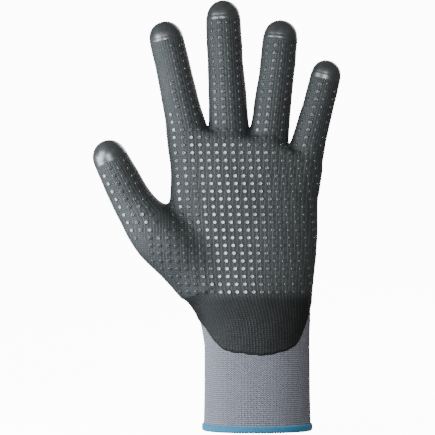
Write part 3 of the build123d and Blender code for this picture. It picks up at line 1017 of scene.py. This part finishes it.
# ---- the dots ----
spots, spot_normals = dot_places()
spot_piece = piece_of(spots)
for number in sorted(set(face_piece.tolist())):
    mine = spot_piece == number
    if not mine.any():
        continue
    lift = COAT + wrinkles(spots[mine])[:, None]
    dot_verts, dot_faces = dots_mesh(spots[mine] + spot_normals[mine] * lift, spot_normals[mine])
    title = title_of(number)
    stem = title if number else "palm"
    thing = new_object(f"{title}_dots_raised", dot_verts, dot_faces)
    finish_piece(thing, moulded, number, (f"{stem}_dots",))

# ---- the inside of the hand ----
LINING = 1.0
LINING_TOP = 158.0
inner, inner_quads = coarse
slope = field_gradient(inner, NORMAL_STEP)
slope /= np.linalg.norm(slope, axis=1)[:, None]
keep = (inner[inner_quads].mean(1)[:, 2] < LINING_TOP) & (owner_of(inner[inner_quads].mean(1)) < 0)
used, lining_faces = own_part(inner_quads, keep)
lining_points = inner[used] - slope[used] * LINING
lining = new_object("hand_lining", lining_points, lining_faces[:, ::-1])
write_knit(lining, inner[used], lining_faces[:, ::-1], 0)
finish_piece(lining, knit, 0)

# ---- the hem: overlocked with loops of blue yarn ----
HEM_HIGH = HEM_TOP + 0.6
HEM_LOOPS = 124
HEM_STEPS = 9
HEM_SIDES = 26
HEM_THICK = 1.15  # half the band's thickness
HEM_LEAN = 0.9  # how far round a loop leans from bottom to top, in loops
HEM_INSET = 0.25  # how far the band is set in from the knit's outside, and raised
HEM_RELIEF = 0.34  # how far the loops stand out
LOOP_MEAN = 0.6  # height of a loop that lies level with the band
BAND_SQUARE = 0.7  # below 1, a band's section is squarer than a circle


def rim_at(z):
    """The cuff's outline at one height: points, and directions out of it."""
    turn = 2 * np.pi * np.arange(HEM_LOOPS * HEM_STEPS) / (HEM_LOOPS * HEM_STEPS)
    left, right, front, back, square = (row[0] for row in smooth_rows(HAND, np.array([z])))
    cos, sin = np.cos(turn), np.sin(turn)
    deep = np.where(sin < 0, front, back)
    bend = (np.abs(cos) ** square + np.abs(sin) ** square) ** (-1 / square)
    x = (left + right) / 2 + (right - left) / 2 * bend * cos
    points = np.column_stack((x, deep * bend * sin, turn * 0 + z))
    ahead = np.roll(points, -1, 0) - np.roll(points, 1, 0)
    out = np.column_stack((ahead[:, 1], -ahead[:, 0], turn * 0))
    return points, out / np.linalg.norm(out, axis=1)[:, None]


def band(name, z, high, thick, middle, loops=0, lean=0.0, relief=0.0, sides=HEM_SIDES):
    """A closed band of rounded section round the cuff, with leaning loops of yarn."""
    points, out = rim_at(z)
    count = len(points)
    around = 2 * np.pi * np.arange(sides) / sides
    rows = []
    loop_shade = []
    phase = np.arange(count) / count
    for angle in around:
        flat_cos = np.sign(np.cos(angle)) * abs(np.cos(angle)) ** BAND_SQUARE
        flat_sin = np.sign(np.sin(angle)) * abs(np.sin(angle)) ** BAND_SQUARE
        slant = lean * flat_sin * np.sign(flat_cos + 1e-9)
        wave = np.abs(np.sin(np.pi * (phase * loops + slant))) if loops else phase * 0
        push = thick * flat_cos + relief * (wave - LOOP_MEAN) * flat_cos
        rise = high / 2 * flat_sin + relief * (wave - LOOP_MEAN) * flat_sin
        rows.append(points + out * (middle + push)[:, None] + np.outer(rise, (0, 0, 1.0)))
        loop_shade.append(wave)
    verts = np.stack(rows, 1).reshape(-1, 3)
    i, j = np.meshgrid(np.arange(count), np.arange(sides), indexing="ij")
    a, b = i * sides + j, i * sides + (j + 1) % sides
    c, d = ((i + 1) % count) * sides + (j + 1) % sides, ((i + 1) % count) * sides + j
    quads = np.stack((a, b, c, d), -1).reshape(-1, 4)
    thing = new_object(name, verts, quads[:, ::-1])
    # the loops' wave is stored to paint shade into the grooves between them
    write_value(thing, "loop_shade", np.stack(loop_shade, 1).reshape(-1))
    return thing


hem_middle = HEM_HIGH / 2 + HEM_INSET
hem = band("hem_overlock", hem_middle, HEM_HIGH, HEM_THICK, -HEM_INSET, HEM_LOOPS, HEM_LEAN, HEM_RELIEF)
finish_piece(hem, blue, None, ("cuff_hem",))

ring_low, ring_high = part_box("cuff_elastic")
ELASTIC_RINGS = 14
ELASTIC_PITCH = (ring_high.z - ring_low.z) / MM / (ELASTIC_RINGS - 0.77)
for ring in range(ELASTIC_RINGS):
    height = ring_low.z / MM + 0.4 + ring * ELASTIC_PITCH
    thread = band(f"elastic_{ring + 1}", height, 0.8, 0.22, -LINING - 0.2, sides=8)
    finish_piece(thread, elastane, None, ("cuff_elastic",) if ring == 0 else ())

# ---- floor and backdrop ----
FLOOR = -0.0006
PAPER_GLOW = 12.0  # the paper is lit from behind, so that it stays white without lighting the glove


def sweep():
    """A white floor that curves up into a backdrop."""
    profile = [(-3.0, FLOOR), (1.2, FLOOR)]
    turns = np.linspace(0.1, math.pi / 2, 16)
    profile += [(1.2 + 0.8 * math.sin(a), FLOOR + 0.8 - 0.8 * math.cos(a)) for a in turns]
    profile.append((2.0, 4.0))
    points = np.array([(x, y, z) for y, z in profile for x in (-4.0, 4.0)]) / MM
    quads = np.array([(2 * k, 2 * k + 1, 2 * k + 3, 2 * k + 2) for k in range(len(profile) - 1)])
    thing = new_object("sweep", points, quads)
    material, tree, shader, add = nodes_of("white_paper", (0.9, 0.9, 0.9), 0.8)
    cloud = noise(add, 3.0, 2.0)
    tree.links.new(mix_colour(add, cloud, (0.86, 0.86, 0.86), (0.9, 0.9, 0.9)), shader.inputs["Base Color"])
    shader.inputs["Emission Color"].default_value = (1, 1, 1, 1)
    shader.inputs["Emission Strength"].default_value = PAPER_GLOW
    thing.visible_diffuse = False
    thing.visible_glossy = False
    thing.data.materials.append(material)


def softbox(name, place, aim, size, power, tint=(1, 1, 1)):
    """A square area light."""
    data = bpy.data.lights.new(name, "AREA")
    data.energy = power
    data.size = size
    data.color = tint
    lamp = bpy.data.objects.new(name, data)
    lamp.location = place
    lamp.rotation_euler = (Vector(aim) - Vector(place)).to_track_quat("-Z", "Y").to_euler()
    bpy.context.scene.collection.objects.link(lamp)


COOL = (0.86, 0.93, 1.0)
WORLD_FILL = 0.22
sweep()
middle = Vector((-0.023, 0, 0.125))
softbox("side_low", (-0.33, -0.11, 0.06), (-0.03, 0, 0.05), 0.2, 2.4, COOL)
softbox("side_high", (-0.36, -0.24, 0.22), (-0.05, 0, 0.18), 0.24, 2.6, COOL)
softbox("front", (-0.17, -1.3, 0.23), middle, 0.46, 13.8)
softbox("rear", (0.5, 1.1, 0.7), middle, 0.8, 12.0)
world = bpy.data.worlds.new("studio")
world.use_nodes = True
world_tree = world.node_tree
seen = world_tree.nodes.new("ShaderNodeLightPath").outputs["Is Camera Ray"]
strength = world_tree.nodes.new("ShaderNodeMapRange")
world_tree.links.new(seen, strength.inputs[0])
strength.inputs[3].default_value = WORLD_FILL
strength.inputs[4].default_value = PAPER_GLOW
world_tree.nodes["Background"].inputs[0].default_value = (1, 1, 1, 1)
world_tree.links.new(strength.outputs[0], world_tree.nodes["Background"].inputs[1])
bpy.context.scene.world = world

# ---- camera ----
LENS = 170.0
VIEW_HEIGHT = 0.2531
EYE_HEIGHT = 0.1238
camera_data = bpy.data.cameras.new("camera")
camera_data.lens = LENS
camera_data.sensor_width = 36.0
camera = bpy.data.objects.new("camera", camera_data)
camera.location = (middle.x, -VIEW_HEIGHT * LENS / 36.0, EYE_HEIGHT)
camera.rotation_euler = (math.pi / 2, 0, 0)
bpy.context.scene.collection.objects.link(camera)
bpy.context.scene.camera = camera
